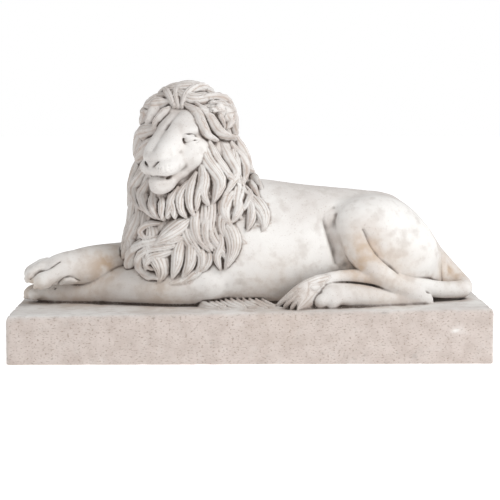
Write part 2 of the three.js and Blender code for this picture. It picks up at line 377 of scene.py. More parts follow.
# Head, in its own frame: x to the lion's right, y ahead, z up
HEAD_AT = np.array([-106, -38, 401], float)
HEAD_HEADING, HEAD_NOD = 135, -20
HEAD_TURN = np.array(Matrix.Rotation(np.radians(HEAD_HEADING), 3, "Z"), float)
HEAD_TURN = HEAD_TURN @ np.array(Matrix.Rotation(np.radians(HEAD_NOD), 3, "X"), float)


def in_head(place):
    return HEAD_AT + HEAD_TURN @ np.array(place, float)


def head_ellipsoid(centre, radii, axes=None):
    return ellipsoid(in_head(centre), radii, HEAD_TURN @ (np.eye(3) if axes is None else axes))


def head_limb(stations, per_span=5):
    return limb([[*in_head(station[:3]), station[3]] for station in stations], per_span)


def on_side(side, stations):
    """Stations given for side 1, the lion's right, or mirrored for side -1, its left"""
    return [[side * x, y, z, radius] for x, y, z, radius in stations]


def across_face(half):
    """A limb from one side of the face to its middle, and out again to the other side"""
    return head_limb(half + on_side(-1, half[-2::-1]))


def skull():
    return [head_ellipsoid((0, 0, 0), (58, 76, 60)), head_ellipsoid((0, 46, 12), (50, 46, 34))]


# Mane

# Level ovals [z, middle x, middle y, radius along x, radius along y]
MANE = smooth_path(
    [
        [432, -134, -12, 40, 36],
        [424, -135, -12, 86, 76],
        [380, -134, -6, 101, 94],
        [340, -131, -3, 114, 106],
        [300, -128, 0, 124, 116],
        [258, -124, 0, 134, 124],
        [215, -128, 0, 134, 126],
        [172, -140, -2, 127, 122],
        [130, -154, -6, 118, 112],
        [92, -168, -10, 106, 96],
        [62, -168, -12, 80, 72],
        [40, -160, -10, 40, 40],
        [34, -160, -10, 4, 4],
    ],
    4,
)[::-1]


def mane_distance(x, y, z):
    def along(values):
        return np.interp(z, MANE[:, 0], values).astype(np.float32)

    middle_x, middle_y, rx, ry = (along(MANE[:, i]) for i in range(1, 5))
    slope = along(np.gradient(MANE[:, 3], MANE[:, 0]))
    ring = np.sqrt(((x - middle_x) / rx) ** 2 + ((y - middle_y) / ry) ** 2)
    side = (ring - 1) * np.minimum(rx, ry) / np.sqrt(1 + slope**2)
    return np.maximum(side, np.maximum(z - MANE[-1, 0], MANE[0, 0] - z))


CROWN_FORM = ellipsoid((-134, -12, 400), (92, 82, 80))


def hair_distance(x, y, z):
    return smooth_min(mane_distance(x, y, z), CROWN_FORM.distance(x, y, z), 4)


def ground_distance(x, y, z):
    """Distance from the form that the locks lie on: the hair's body, running out over trunk and skull"""
    ground = smooth_min(hair_distance(x, y, z), trunk_distance(x, y, z), 30)
    for form in skull():
        ground = smooth_min(ground, form.distance(x, y, z), 12)
    return ground


def mane_ground(places):
    return ground_distance(*np.moveaxis(places, -1, 0))


def outward(places):
    steps = np.eye(3)
    slopes = [mane_ground(places + step) - mane_ground(places - step) for step in steps]
    normal = np.stack(slopes, -1)
    return normal / np.maximum(np.linalg.norm(normal, axis=-1, keepdims=True), 1e-6)


SETTLINGS = 6


def settle(places):
    """Moves places onto the ground of the mane"""
    for _ in range(SETTLINGS):
        slopes = [(mane_ground(places + step) - mane_ground(places - step)) / 2 for step in np.eye(3)]
        slopes = np.stack(slopes, -1)
        square = np.maximum((slopes**2).sum(-1, keepdims=True), 0.05)
        places = places - np.clip(mane_ground(places)[..., None] * slopes / square, -12, 12)
    return places


def head(clay):
    both = (-1, 1)
    bridge = []
    stations = [
        [12, 40, 8, 34],
        [13, 66, 12, 28],
        [14, 92, 5, 22],
        [16, 119, -6, 20],
        [16, 148, -16, 16],
    ]
    for side in both:
        bridge += head_limb(on_side(side, stations))
    cheeks = [head_ellipsoid((side * 35, 72, -38), (29, 44, 34)) for side in both]
    jaw = [head_ellipsoid((0, 90, -62), (43, 60, 32))]
    window, face = clay.shape([*skull(), *bridge, *cheeks, *jaw], 12, BAND + 14)
    clay.clay[window] = smooth_min(clay.clay[window], face, 0)
    clay.join([head_ellipsoid((side * 21, 138, -39), (30, 42, 24)) for side in both], 8, 10)
    clay.join(head_ellipsoid((0, 148, -40), (22, 33, 21)), 6)
    clay.join(head_ellipsoid((0, 151, -79), (25, 37, 23)), 12)
    lip = [[22, 150, -76, 5], [15, 170, -68, 6], [0, 178, -65, 6]]
    clay.join(across_face(lip), 8)
    nose = [head_ellipsoid((0, 157, -15), (32, 15, 11)), head_ellipsoid((0, 160, -26), (22, 16, 9))]
    clay.join(nose, 4, 4)
    for side in both:
        eye(clay, side)
        ear(clay, side)
        nostril = [[4, 178, -30, 1.8], [13, 174, -27, 3], [22, 165, -25, 2.6], [31, 152, -22, 1.6]]
        clay.carve(head_limb(on_side(side, nostril)), 2.5)
        whiskers(clay, side)
        clay.carve(head_ellipsoid((side * 28, 154, -66), (9, 9, 3.5)), 4)
    clay.carve(head_limb([[-22, 165, -27, 1.6], [0, 180, -33, 2.2], [22, 165, -27, 1.6]]), 4)
    mouth = [[-48, 118, -72, 3], [-38, 142, -70, 5], [-20, 170, -59, 4], [0, 184, -52, 3]]
    clay.carve(across_face(mouth), 2)
    clay.carve(head_limb([[0, 181, -32, 1], [0, 184, -44, 1.4], [0, 184, -52, 2.5]]), 3)
    clay.carve(head_limb([[0, 62, 52, 1.5], [0, 84, 41, 3], [0, 104, 30, 1.5]]), 12)


def eye(clay, side):
    def bow(stations):
        return head_limb(on_side(side, stations))

    clay.carve(head_ellipsoid((side * 47, 93, 0), (14, 8, 8)), 10)
    clay.join(bow([[16, 90, 22, 8], [36, 83, 21, 8], [50, 70, 14, 7]]), 11)
    clay.join(head_ellipsoid((side * 40, 84, 0), (17, 13, 9)), 0)
    upper = [[27, 96, 6, 2.5], [34, 99, 9, 3.5], [45, 94, 8, 4], [55, 82, 0, 3.5], [61, 71, -8, 2.5]]
    lower = [[27, 96, 4, 2.5], [36, 97, -7, 3], [47, 89, -10, 3.5], [58, 75, -10, 2.5]]
    clay.join(bow(upper), 1.5)
    clay.join(bow(lower), 2)


def ear(clay, side):
    axes = turned(y=side * 20, z=side * 25)
    clay.join(head_ellipsoid((side * 60, -8, 28), (9, 14, 20), axes), 10)


WHISKER_ROWS = 3
WHISKERS_IN_ROW = 4


def whiskers(clay, side):
    for row in range(WHISKER_ROWS):
        for i in range(WHISKERS_IN_ROW):
            across, up = 0.18 + 0.2 * i, 0.25 - 0.3 * row
            ahead = np.sqrt(1 - across**2 - up**2)
            spot = (side * (21 + 30 * across), 138 + 42 * ahead, -39 + 24 * up)
            clay.carve(head_ellipsoid(spot, (2.4, 2.4, 2.4)), 1)


# Locks of hair


LOCK_DEPTH = 22


class Lock:
    """A tapering lock along its path, which holds places with outward directions.

    It hugs the mane's ground, or lies level across its path.
    """

    def __init__(self, path, outs, width, thickness, lift, strand=8.0, groove=3.6, phase=0.0, hugs=True):
        self.path = path.astype(np.float32)
        self.outs = outs.astype(np.float32)
        self.width = width
        self.thickness = thickness
        self.lift = lift
        self.strands = 2 * width / strand
        self.groove = groove
        self.phase = phase
        self.hugs = hugs
        self.reach = width + thickness + BAND
        self.low = path.min(0) - self.reach
        self.high = path.max(0) + self.reach

    def depths(self):
        return -LOCK_DEPTH - BAND, self.thickness + max(self.lift) + BAND

    def nearest(self, spots):
        """The path's nearest vertex to each spot, and which spots are within reach"""
        gaps = (spots**2).sum(1)[:, None] - 2 * spots @ self.path.T + (self.path**2).sum(1)
        return gaps.argmin(1), gaps.min(1) < self.reach**2 * 1.2

    def distance(self, spots, vertex, ground):
        spans = np.diff(self.path, axis=0)
        lengths = (spans**2).sum(1)
        tries = []
        for shift in (-1, 0):
            which = np.clip(vertex + shift, 0, len(spans) - 1)
            away = spots - self.path[which]
            share = np.clip((away * spans[which]).sum(1) / lengths[which], 0, 1)
            away -= share[:, None] * spans[which]
            tries.append((which, share, away, (away**2).sum(1)))
        first = tries[0][3] <= tries[1][3]
        which = np.where(first, tries[0][0], tries[1][0])
        share = np.where(first, tries[0][1], tries[1][1])
        away = np.where(first[:, None], tries[0][2], tries[1][2])
        s = (which + share) / len(spans)
        out = self.outs[which] * (1 - share[:, None]) + self.outs[which + 1] * share[:, None]
        height = ground if self.hugs else (away * out).sum(1)
        flat = np.sqrt(np.maximum((away**2).sum(1) - height**2, 0))
        side = np.cross(spans, self.outs[:-1])[which]
        sign = np.sign((away * side).sum(1))
        width = self.width * np.minimum(1, 0.5 + 2 * s) * (0.72 + 0.28 * np.sin(np.pi * s))
        width = width * np.maximum(1 - s**3, 0) ** 0.75 + 0.8
        q = flat / width
        crown = self.thickness * (0.4 + 0.6 * np.sin(np.pi * np.clip(s, 0.06, 0.88)))
        top = self.lift[0] + (self.lift[1] - self.lift[0]) * s**0.8 + crown * (1 - q * q)
        turns = self.strands * sign * q / 2 + self.phase
        valley = 1 - np.abs(np.sin(np.pi * turns))
        top -= self.groove * np.sin(np.pi * s) ** 0.4 * np.clip(1.3 - q, 0, 1) * valley
        steep = np.sqrt(1 + (2 * crown / width * np.minimum(q, 1.5)) ** 2)
        return np.maximum((height - top) / steep, -height - LOCK_DEPTH), turns


FACE_DROP = 26
FACE_MIDDLE = in_head((0, 40, -FACE_DROP))
FACE_AHEAD = HEAD_TURN[:, 1]
FACE_HALF_WIDTH = 68
FACE_HALF_HEIGHT = 90
DOWN = np.array([0, 0, -1.0])
STEPS = 11


def comb(roots, lengths, sway, phase):
    """Paths of locks combed away from the face and down, with their outward directions"""
    place = settle(roots)
    places, outs = [place], [outward(place)]
    for step in range(STEPS):
        out = outs[-1]
        away = place - FACE_MIDDLE
        away -= (away @ FACE_AHEAD)[:, None] * FACE_AHEAD
        gap = np.linalg.norm(away, axis=1, keepdims=True)
        share = np.clip(1.25 - gap / 170, 0.12, 1)
        heading = share * away / gap + (1 - share) * DOWN
        heading -= (heading * out).sum(1, keepdims=True) * out
        heading /= np.linalg.norm(heading, axis=1, keepdims=True)
        swing = sway * np.sin(2 * np.pi * (step / STEPS) * 0.8 + phase)
        heading += swing[:, None] * np.cross(out, heading)
        heading /= np.linalg.norm(heading, axis=1, keepdims=True)
        place = settle(place + heading * (lengths / STEPS)[:, None])
        places.append(place)
        outs.append(outward(place))
    return np.stack(places, 1), np.stack(outs, 1)


def in_face(places, grow):
    local = (places - HEAD_AT) @ HEAD_TURN
    oval = (local[:, 0] / FACE_HALF_WIDTH) ** 2 + ((local[:, 2] + FACE_DROP) / FACE_HALF_HEIGHT) ** 2
    return (local[:, 1] > 0) & (oval < grow**2)


ROW_HEIGHTS = [472, 448, 412, 362, 310, 256, 200, 146]
LEAST_ROW_RADIUS = 54
LOWEST_TIP = 48
FURTHEST_TIP = 30
LOCK_SPACING = 50
LOCK_LENGTHS = (112, 140)
LOCK_WIDTHS = (22, 28)
FACE_MARGIN = 1.28
DEEPEST_ROOT = -16
TOWARD_CAMERA = np.array([0.05, -1, 0.1])


def mane_roots():
    roots = []
    for i, height in enumerate(ROW_HEIGHTS):
        _, mx, my, rx, ry = (float(np.interp(height, MANE[:, 0], MANE[:, k])) for k in range(5))
        rx, ry = max(rx, LEAST_ROW_RADIUS), max(ry, LEAST_ROW_RADIUS)
        count = int(round(np.pi * (rx + ry) / LOCK_SPACING))
        turn = (np.arange(count) + 0.5 * (i % 2) + rng.uniform(-0.16, 0.16, count)) / count * 2 * np.pi
        z = height + rng.uniform(-13, 13, count)
        roots.append(np.stack([mx + rx * np.sin(turn), my - ry * np.cos(turn), z], -1))
    roots = np.vstack(roots)
    roots = roots[~in_face(roots, FACE_MARGIN)]
    return roots[trunk_distance(*roots.T) > DEEPEST_ROOT]


# The locks that the photograph shows, by places in it: across and down, in its pixels.
# Each has its half width in millimetres, its places from root to tip, and how high its ends lie.
UNDER = (-9, 1)
LOW = (-6, 7)
HIGH = (-4, 12)
TOPMOST = (0, 14)
CROWN = (-2, 8)
SHOWN_LOCKS = [
    # beside and below the whorl
    (14, LOW, [(129, 206), (127, 222), (123, 236), (118, 248)]),
    (15, LOW, [(137, 208), (135, 224), (131, 238), (123, 248)]),
    (15, LOW, [(183, 236), (179, 250), (177, 264), (172, 279)]),
    (16, LOW, [(189, 234), (192, 248), (190, 264), (182, 278)]),
    (15, LOW, [(197, 240), (202, 252), (202, 264), (194, 275)]),
    (10, LOW, [(206, 248), (210, 256), (206, 266), (200, 271)]),
    (13, LOW, [(133, 240), (124, 246), (118, 254), (112, 262)]),
    # middle tier
    (18, HIGH, [(192, 217), (180, 226), (168, 235), (157, 243)]),
    (15, LOW, [(199, 204), (195, 220), (198, 238), (211, 252)]),
    (14, LOW, [(209, 207), (206, 222), (206, 238), (213, 251)]),
    (18, HIGH, [(219, 218), (230, 232), (233, 248), (225, 269)]),
    (13, LOW, [(217, 226), (222, 242), (217, 256), (221, 270)]),
    (15, HIGH, [(236, 188), (226, 200), (224, 214), (232, 227)]),
    (12, HIGH, [(239, 196), (238, 210), (231, 224)]),
    (12, LOW, [(243, 192), (251, 206), (251, 219), (247, 231)]),
    (9, LOW, [(247, 186), (250, 196), (246, 206), (240, 213)]),
    (8, LOW, [(251, 180), (254, 189), (259, 200)]),
    (8, LOW, [(253, 170), (257, 182), (262, 190)]),
    # ruff below the face
    (14, HIGH, [(140, 156), (131, 170), (128, 186), (131, 203)]),
    (14, HIGH, [(144, 168), (136, 184), (137, 198), (145, 211)]),
    (13, HIGH, [(147, 180), (143, 193), (147, 206), (157, 219)]),
    (12, HIGH, [(152, 192), (153, 204), (157, 212), (162, 220)]),
    (12, HIGH, [(161, 198), (164, 208), (164, 221)]),
    (12, HIGH, [(170, 194), (172, 205), (168, 219)]),
    (13, HIGH, [(178, 188), (173, 200), (175, 210), (176, 219)]),
    (13, HIGH, [(188, 182), (181, 196), (181, 208), (187, 218)]),
    (13, HIGH, [(196, 173), (191, 188), (190, 203), (194, 217)]),
    (12, HIGH, [(201, 167), (202, 182), (197, 198), (196, 212)]),
    # beside the face
    (13, HIGH, [(200, 158), (204, 178), (202, 193), (209, 207)]),
    (16, TOPMOST, [(202, 139), (206, 158), (219, 182), (212, 204)]),
    (14, TOPMOST, [(208, 140), (214, 158), (223, 172), (233, 184)]),
    (14, HIGH, [(223, 144), (230, 160), (234, 176), (220, 200)]),
    (12, HIGH, [(232, 142), (241, 158), (244, 174), (239, 190)]),
    (12, HIGH, [(236, 128), (245, 146), (251, 162), (257, 173)]),
    # about the ear
    (11, TOPMOST, [(186, 105), (196, 112), (201, 124), (207, 135), (218, 141)]),
    (12, TOPMOST, [(196, 104), (206, 113), (213, 125), (222, 134), (237, 140)]),
    (12, HIGH, [(190, 103), (205, 98), (219, 99), (230, 108), (235, 122), (237, 136)]),
    (9, TOPMOST, [(222, 100), (228, 108), (229, 119), (224, 130)]),
    (8, HIGH, [(212, 99), (216, 108), (219, 119), (222, 130)]),
    # crown
    (10, CROWN, [(174, 106), (171, 98), (166, 93), (160, 97)]),
    (14, CROWN, [(178, 106), (176, 94), (185, 84), (199, 83), (212, 90)]),
    (13, CROWN, [(182, 106), (187, 96), (199, 90), (215, 92)]),
    (11, CROWN, [(175, 106), (169, 95), (173, 86), (184, 81)]),
    # beyond the brow
    (22, TOPMOST, [(168, 97), (156, 96), (147, 104), (144, 116), (143, 128)]),
    (13, TOPMOST, [(168, 102), (159, 104), (153, 114), (149, 127)]),
    (9, HIGH, [(169, 107), (163, 113), (158, 122), (155, 131)]),
    (17, TOPMOST, [(158, 128), (146, 131), (139, 142), (135, 160)]),
    (11, HIGH, [(154, 137), (147, 145), (142, 154), (138, 163)]),
    # round the whorl
    (13, HIGH, [(197, 233), (174, 240), (150, 242), (134, 251), (130, 266), (139, 279), (158, 284)]),
    (12, HIGH, [(184, 243), (166, 247), (150, 249), (141, 257), (141, 268), (152, 276), (166, 277)]),
    (12, LOW, [(176, 250), (162, 254), (152, 257), (148, 264), (155, 269)]),
    (13, LOW, [(206, 258), (199, 271), (184, 280), (162, 284)]),
    (8, HIGH, [(160, 223), (149, 224), (143, 231), (147, 238), (156, 236)]),
]


def shown(places, height):
    """Where the photograph's pixels lie on a surface, given its height function"""
    eye = np.array(CAMERA_AT) - (0, 0, TOP)
    right, up, back = turned(*CAMERA_TURN).astype(float).T
    across = (np.array(places)[..., :1] - MIDDLE_PIXEL) / FOCAL_PIXELS
    down = (np.array(places)[..., 1:] - MIDDLE_PIXEL) / FOCAL_PIXELS
    ray = across * right - down * up - back
    ray = ray / ray[..., 1:2]
    depths = np.arange(-180, 60, 3.0) - eye[1]
    spots = eye + ray[..., None, :] * depths[:, None]
    heights = height(spots)
    hit = heights < 0
    first = np.where(hit.any(-1), hit.argmax(-1), heights.argmin(-1))
    return np.take_along_axis(spots, first[..., None, None], -2)[..., 0, :]


def shown_paths(rows):
    """Smooth paths of one length through each row of places"""
    paths = []
    for row in rows:
        path = smooth_path(row, 8)
        at = np.linspace(0, len(path) - 1, STEPS + 1)
        paths.append(np.stack([np.interp(at, np.arange(len(path)), path[:, i]) for i in (0, 1)], -1))
    places = shown(np.stack(paths), mane_ground)
    places = settle(places.reshape(-1, 3)).reshape(places.shape)
    outs = outward(places.reshape(-1, 3)).reshape(places.shape)
    return places, outs


# Furrows that the photograph shows, by places in it, each with its radius in millimetres and how
# softly its edges run out
SHOWN_FURROWS = {
    "calf": (4, 7, [(363, 230), (371, 245), (382, 259), (398, 273)]),
    "flank": (11, 14, [(334, 214), (331, 226), (333, 240), (337, 254), (344, 265)]),
    "flank fold": (4, 14, [(333, 207), (325, 215), (328, 232), (333, 248), (336, 262)]),
    "upper toes": (4.5, 3, [(60, 262), (48, 269), (37, 273), (30, 280)]),
    "side toe": (4, 4, [(80, 281), (70, 277), (61, 281), (55, 289)]),
    "tail's root": (4, 14, [(443, 252), (443, 266), (443, 281)]),
}
SMOOTHINGS = 3


def furrows(clay):
    for radius, blend, row in SHOWN_FURROWS.values():
        path = shown(smooth_path(row, 8), clay.at)
        for _ in range(SMOOTHINGS):
            path[1:-1] = (path[:-2] + 2 * path[1:-1] + path[2:]) / 4
        share = np.linspace(0, 1, len(path))
        radii = radius * (0.25 + 0.75 * np.sin(np.pi * np.clip(share, 0.08, 0.92)))
        stations = np.column_stack([path, radii])
        clay.carve([capsule(a, b) for a, b in zip(stations, stations[1:])], blend)


def mane(clay):
    body = Form(lambda x, y, z: hair_distance(x, y, z) + 4, (-300, -142, 34), (20, 142, 500))
    clay.join(body, 4)
    window = clay.window(np.array([-330, -180, 10]), np.array([110, 180, 520]))
    clay.ground[window] = ground_distance(*clay.places(window))
    roots = mane_roots()
    facing = outward(settle(roots)) @ TOWARD_CAMERA > 0.05
    count = len(roots)
    lengths = rng.uniform(*LOCK_LENGTHS, count)
    paths, outs = comb(roots, lengths, rng.uniform(0.3, 0.75, count), rng.uniform(0, 2 * np.pi, count))
    widths = rng.uniform(*LOCK_WIDTHS, count)
    for path, out, width, seen in zip(paths, outs, widths, facing):
        phase = rng.uniform(0, 1)
        if path[-1, 2] > LOWEST_TIP and path[-1, 0] < FURTHEST_TIP:
            clay.lay(Lock(path, out, width, 15, UNDER if seen else LOW, phase=phase))
    places, outs = shown_paths([row for _, _, row in SHOWN_LOCKS])
    for (width, lift, _), path, out in zip(SHOWN_LOCKS, places, outs):
        clay.lay(Lock(path, out, width, 14, lift, strand=7.0, phase=rng.uniform(0, 1)))


# Tail, its tuft and the belly's hair

TAIL = [
    [400, 12, 112, 32],
    [434, 11, 83, 27],
    [464, 2, 53, 24],
    [484, -24, 34, 21],
    [468, -54, 32, 19],
    [423, -72, 34, 19],
    [376, -88, 44, 18.5],
    [332, -100, 57, 18],
    [288, -110, 65, 17],
    [221, -120, 71, 13.5],
    [170, -132, 66, 12.5],
    [136, -144, 50, 14],
]
TUFT_LOCKS = 8
BELLY_STROKES = 11


def straight_lock(points, out, width, thickness, **more):
    path = smooth_path(points, 3)
    outs = np.tile(np.array(out, float) / np.linalg.norm(out), (len(path), 1))
    return Lock(path, outs, width, thickness, hugs=False, **more)


def tail(clay):
    clay.join(ellipsoid((442, -4, 36), (32, 28, 42)), 14)
    clay.join(limb(TAIL), 5)
    for i, spread in enumerate(np.linspace(-0.5, 0.5, TUFT_LOCKS)):
        points = [
            [186, -130 - 4 * spread, 68 + 8 * spread],
            [146, -144 - 8 * spread, 58 + 18 * spread],
            [110 - 8 * spread, -152 + 14 * spread, 32 + 30 * spread],
            [78 - 52 * spread + 7 * (i % 2), -150 + 38 * spread, 2 + 6 * (spread + 0.5)],
        ]
        clay.lay(straight_lock(points, (-0.3, -0.8, 0.6), 10, 9, lift=(-1, 2), strand=5, groove=2))


def belly_hair(clay):
    for i, x in enumerate(np.linspace(-98, 40, BELLY_STROKES)):
        reach = 14 * np.sin(i * 2.3)
        points = [
            [x - 12, -84, 16],
            [x, -102, 9],
            [x + 14, -118, 4],
            [x + 30 + reach, -136 - reach * 0.5, 0],
        ]
        width = 5 + 1.5 * np.sin(i * 1.7)
        clay.lay(straight_lock(points, (0, -0.3, 1), width, 5, lift=(-1, 0), strand=6, groove=0.8))


# Mesh


def surface(clay):
    """Vertices and quads of the surface, one vertex in each cell that it crosses"""
    inside = clay.clay < 0
    nx, ny, nz = inside.shape
    count = np.zeros((nx - 1, ny - 1, nz - 1), np.uint8)
    corners = [(a, b, c) for a in (0, 1) for b in (0, 1) for c in (0, 1)]
    for a, b, c in corners:
        count += inside[a:nx - 1 + a, b:ny - 1 + b, c:nz - 1 + c]
    cells = np.flatnonzero((count > 0) & (count < 8))
    i, j, k = np.unravel_index(cells, count.shape)
    values = {corner: clay.clay[i + corner[0], j + corner[1], k + corner[2]] for corner in corners}
    total = np.zeros((len(cells), 3))
    hits = np.zeros(len(cells))
    for start in corners:
        for axis in range(3):
            if start[axis]:
                continue
            end = tuple(1 if n == axis else start[n] for n in range(3))
            a, b = values[start], values[end]
            crossed = (a < 0) != (b < 0)
            share = np.where(crossed, a / np.where(crossed, a - b, 1), 0)
            spot = np.tile(np.array(start, float), (len(cells), 1))
            spot[:, axis] += share
            total += spot * crossed[:, None]
            hits += crossed
    points = clay.low + (np.stack([i, j, k], -1) + total / hits[:, None]) * CELL
    quads = []
    shape = count.shape
    for axis in range(3):
        u, v = (axis + 1) % 3, (axis + 2) % 3
        first = [slice(None)] * 3
        second = [slice(None)] * 3
        first[axis], second[axis] = slice(None, -1), slice(1, None)
        for n in (u, v):
            first[n] = second[n] = slice(1, -1)
        here, there = inside[tuple(first)], inside[tuple(second)]
        for flip, crossing in ((False, here & ~there), (True, ~here & there)):
            where = np.stack(np.nonzero(crossing), -1)
            where[:, u] += 1
            where[:, v] += 1
            ring = []
            for du, dv in ((-1, -1), (0, -1), (0, 0), (-1, 0)):
                cell = where.copy()
                cell[:, u] += du
                cell[:, v] += dv
                ring.append(np.searchsorted(cells, np.ravel_multi_index(cell.T, shape)))
            ring = np.stack(ring, -1)
            quads.append(ring[:, ::-1] if flip else ring)
    return points, np.vstack(quads)


def mesh_object(name, points, faces):
    mesh = bpy.data.meshes.new(name)
    size = faces.shape[1]
    mesh.vertices.add(len(points))
    mesh.vertices.foreach_set("co", points.astype(np.float32).ravel())
    mesh.loops.add(faces.size)
    mesh.loops.foreach_set("vertex_index", faces.astype(np.int32).ravel())
    mesh.polygons.add(len(faces))
    mesh.polygons.foreach_set("loop_start", np.arange(0, faces.size, size, dtype=np.int32))
    mesh.update(calc_edges=True)
    obj = bpy.data.objects.new(name, mesh)
    bpy.context.scene.collection.objects.link(obj)
    return obj


def largest_part(faces, count):
    """The triangles that hang together with the most others"""
    label = np.arange(count)
    while True:
        lowest = label.copy()
        np.minimum.at(lowest, faces.ravel(), np.repeat(label[faces].min(1), 3))
        lowest = lowest[lowest]
        if np.array_equal(lowest, label):
            break
        label = lowest
    part = label[faces[:, 0]]
    return faces[part == np.bincount(part).argmax()]


def thinned(obj, most):
    """The object with fewer triangles, where its surface is flattest first, and without loose bits"""
    count = sum(len(p.vertices) - 2 for p in obj.data.polygons)
    if count > most:
        modifier = obj.modifiers.new("thin", "DECIMATE")
        modifier.ratio = most / count
        modifier.use_collapse_triangulate = True
    depsgraph = bpy.context.evaluated_depsgraph_get()
    mesh = bpy.data.meshes.new_from_object(obj.evaluated_get(depsgraph))
    mesh.calc_loop_triangles()
    faces = np.empty(3 * len(mesh.loop_triangles), np.int32)
    mesh.loop_triangles.foreach_get("vertices", faces)
    points = np.empty(3 * len(mesh.vertices), np.float32)
    mesh.vertices.foreach_get("co", points)
    faces = largest_part(faces.reshape(-1, 3), len(mesh.vertices))
    used, faces = np.unique(faces, return_inverse=True)
    name = obj.name
    bpy.data.meshes.remove(obj.data)
    bpy.data.meshes.remove(mesh)
    thin = mesh_object(name, points.reshape(-1, 3)[used], faces.reshape(-1, 3))
    thin.data.validate()
    return thin


def blurred(solid, cells):
    """The share of each cell's surroundings that is solid"""
    share = solid.astype(np.float32)
    for axis in range(3):
        share = np.moveaxis(share, axis, 0)
        total = np.cumsum(np.pad(share, [(cells + 1, cells), (0, 0), (0, 0)], "edge"), 0, dtype=np.float32)
        share = np.moveaxis((total[2 * cells + 1:] - total[:-2 * cells - 1]) / (2 * cells + 1), 0, axis)
    return share


def between(values, places):
    """The values at places that lie between the cells"""
    first = np.floor(places).astype(int)
    first = np.clip(first, 0, np.array(values.shape) - 2)
    share = places - first
    found = 0
    for corner in np.ndindex(2, 2, 2):
        weight = np.prod(np.where(corner, share, 1 - share), -1)
        found = found + weight * values[tuple((first + corner).T)]
    return found


class Wander:
    """A smooth random function of place, between about -1 and 1"""

    def __init__(self, wavelength, count=9):
        heading = rng.normal(size=(3, count))
        heading /= np.linalg.norm(heading, axis=0)
        self.waves = heading * 2 * np.pi / (wavelength * rng.uniform(0.7, 1.5, count))
        self.phases = rng.uniform(0, 2 * np.pi, count)

    def __call__(self, places):
        return np.sin(places @ self.waves + self.phases).mean(1) * 2.2


def on_plinth(places):
    """How far places belong to the plinth's sides and rim: 1 there and 0 on the figure and the top"""
    x, y, z = places.T
    inward = np.minimum(HALF_LENGTH - np.abs(x), HALF_DEPTH - np.abs(y))
    return np.clip(1 - inward / 7, 0, 1) * (z < TOP_AT_TAIL)


PITS = 260
PIT_RADII = (1.5, 3.8)
CHIP = (443, -HALF_DEPTH, 73 - TOP)
CHIP_RADIUS = 9
CHIP_DEPTH = 2.5


def chip_gap(points):
    x, _, z = (points - CHIP).T
    return np.sqrt((0.8 * x + 0.5 * z) ** 2 + (1.7 * z - 0.6 * x) ** 2 + ((points - CHIP)[:, 1]) ** 2)


def weather(points, normals):
    """Uneven casting, pits and a small chip, as depths along the normals"""
    side = on_plinth(points)
    depth = 0.5 * Wander(70)(points) + 0.25 * Wander(22)(points) + 0.45 * side * Wander(16)(points)
    rim = side * np.clip(1 - (plinth_top(points[:, 0]) - points[:, 2]) / 12, 0, 1)
    depth += rim * np.clip(1.2 + 1.4 * Wander(38)(points), 0, 3)
    sides = np.flatnonzero(side > 0.9)
    for centre in rng.choice(sides, PITS, replace=False):
        gap = np.linalg.norm((points[sides] - points[centre]) * rng.uniform(0.6, 1.4, 3), axis=1)
        radius = rng.uniform(*PIT_RADII)
        depth[sides] += 0.35 * radius * np.clip(1 - (gap / radius) ** 2, 0, 1)
    depth += CHIP_DEPTH * np.clip(1 - (chip_gap(points) / CHIP_RADIUS) ** 2, 0, 1)
    return points - normals * np.maximum(depth, 0)[:, None]


# Warm stains, and painted shade under the belly, low on the sides, behind the knee, under the toes and at
# the tail's root: [x, y, z, radius, strength]
STAINS_AND_SHADE = [
    [-470, -50, 44, 26, 0.7],
    [-490, 30, 12, 34, 0.6],
    [330, -100, 100, 40, 0.35],
    [-318, -20, 92, 44, 0.9],
    [250, -120, 130, 46, 0.8],
    [235, -110, 84, 40, 0.7],
    [448, -20, 60, 44, 0.9],
    [-380, -10, 20, 70, 0.5],
    [-200, -110, 30, 60, 0.5],
    [300, -110, 40, 60, 0.35],
    [60, -120, 30, 80, 0.35],
]


def set_attribute(mesh, name, values):
    mesh.attributes.new(name, "FLOAT", "POINT").data.foreach_set("value", values.astype(np.float32))


def paint(clay, obj):
    """Point attributes for the stone: how hollow it is, its stains and painted shade, hair, plinth's sides
    and chip
    """
    mesh = obj.data
    points = np.empty(len(mesh.vertices) * 3, np.float32)
    mesh.vertices.foreach_get("co", points)
    points = points.reshape(-1, 3) / MM - (0, 0, TOP)
    solid = np.clip(0.5 - clay.clay / CELL, 0, 1)
    places = (points - clay.low) / CELL
    set_attribute(mesh, "groove", between(blurred(solid, round(4 / CELL)), places))
    set_attribute(mesh, "crevice", between(blurred(solid, round(8 / CELL)), places))
    set_attribute(mesh, "hollow", between(blurred(solid, round(24 / CELL)), places))
    # warm stains, with shade painted under the belly, low on the sides and in the folds
    stain_and_shade = np.zeros(len(points))
    for x, y, z, radius, strength in STAINS_AND_SHADE:
        stain_and_shade += strength * np.exp(-((points - (x, y, z)) ** 2).sum(1) / radius**2)
    set_attribute(mesh, "stain_and_shade", stain_and_shade)
    set_attribute(mesh, "strand", between(clay.strand, places))
    set_attribute(mesh, "side", on_plinth(points))
    set_attribute(mesh, "fresh", 0.7 * np.clip(1.3 - chip_gap(points) / CHIP_RADIUS, 0, 1))


def statue():
    low = (-HALF_LENGTH - MARGIN, -HALF_DEPTH - MARGIN, -TOP - MARGIN)
    clay = Sculpt(low, (HALF_LENGTH + MARGIN, HALF_DEPTH + MARGIN, HIGHEST))
    clay.join(trunk())
    for side in (-1, 1):
        hind_leg(clay, side)
    forelegs(clay)
    furrows(clay)
    tail(clay)
    head(clay)
    mane(clay)
    belly_hair(clay)
    clay.join(plinth(), 9)
    points, quads = surface(clay)
    points = weather(points, clay.normals(points))
    obj = mesh_object("lion_on_plinth", (points + (0, 0, TOP)) * MM, quads)
    obj = thinned(obj, MOST_TRIANGLES)
    obj.data.polygons.foreach_set("use_smooth", np.ones(len(obj.data.polygons), bool))
    paint(clay, obj)
    return obj


# Stone


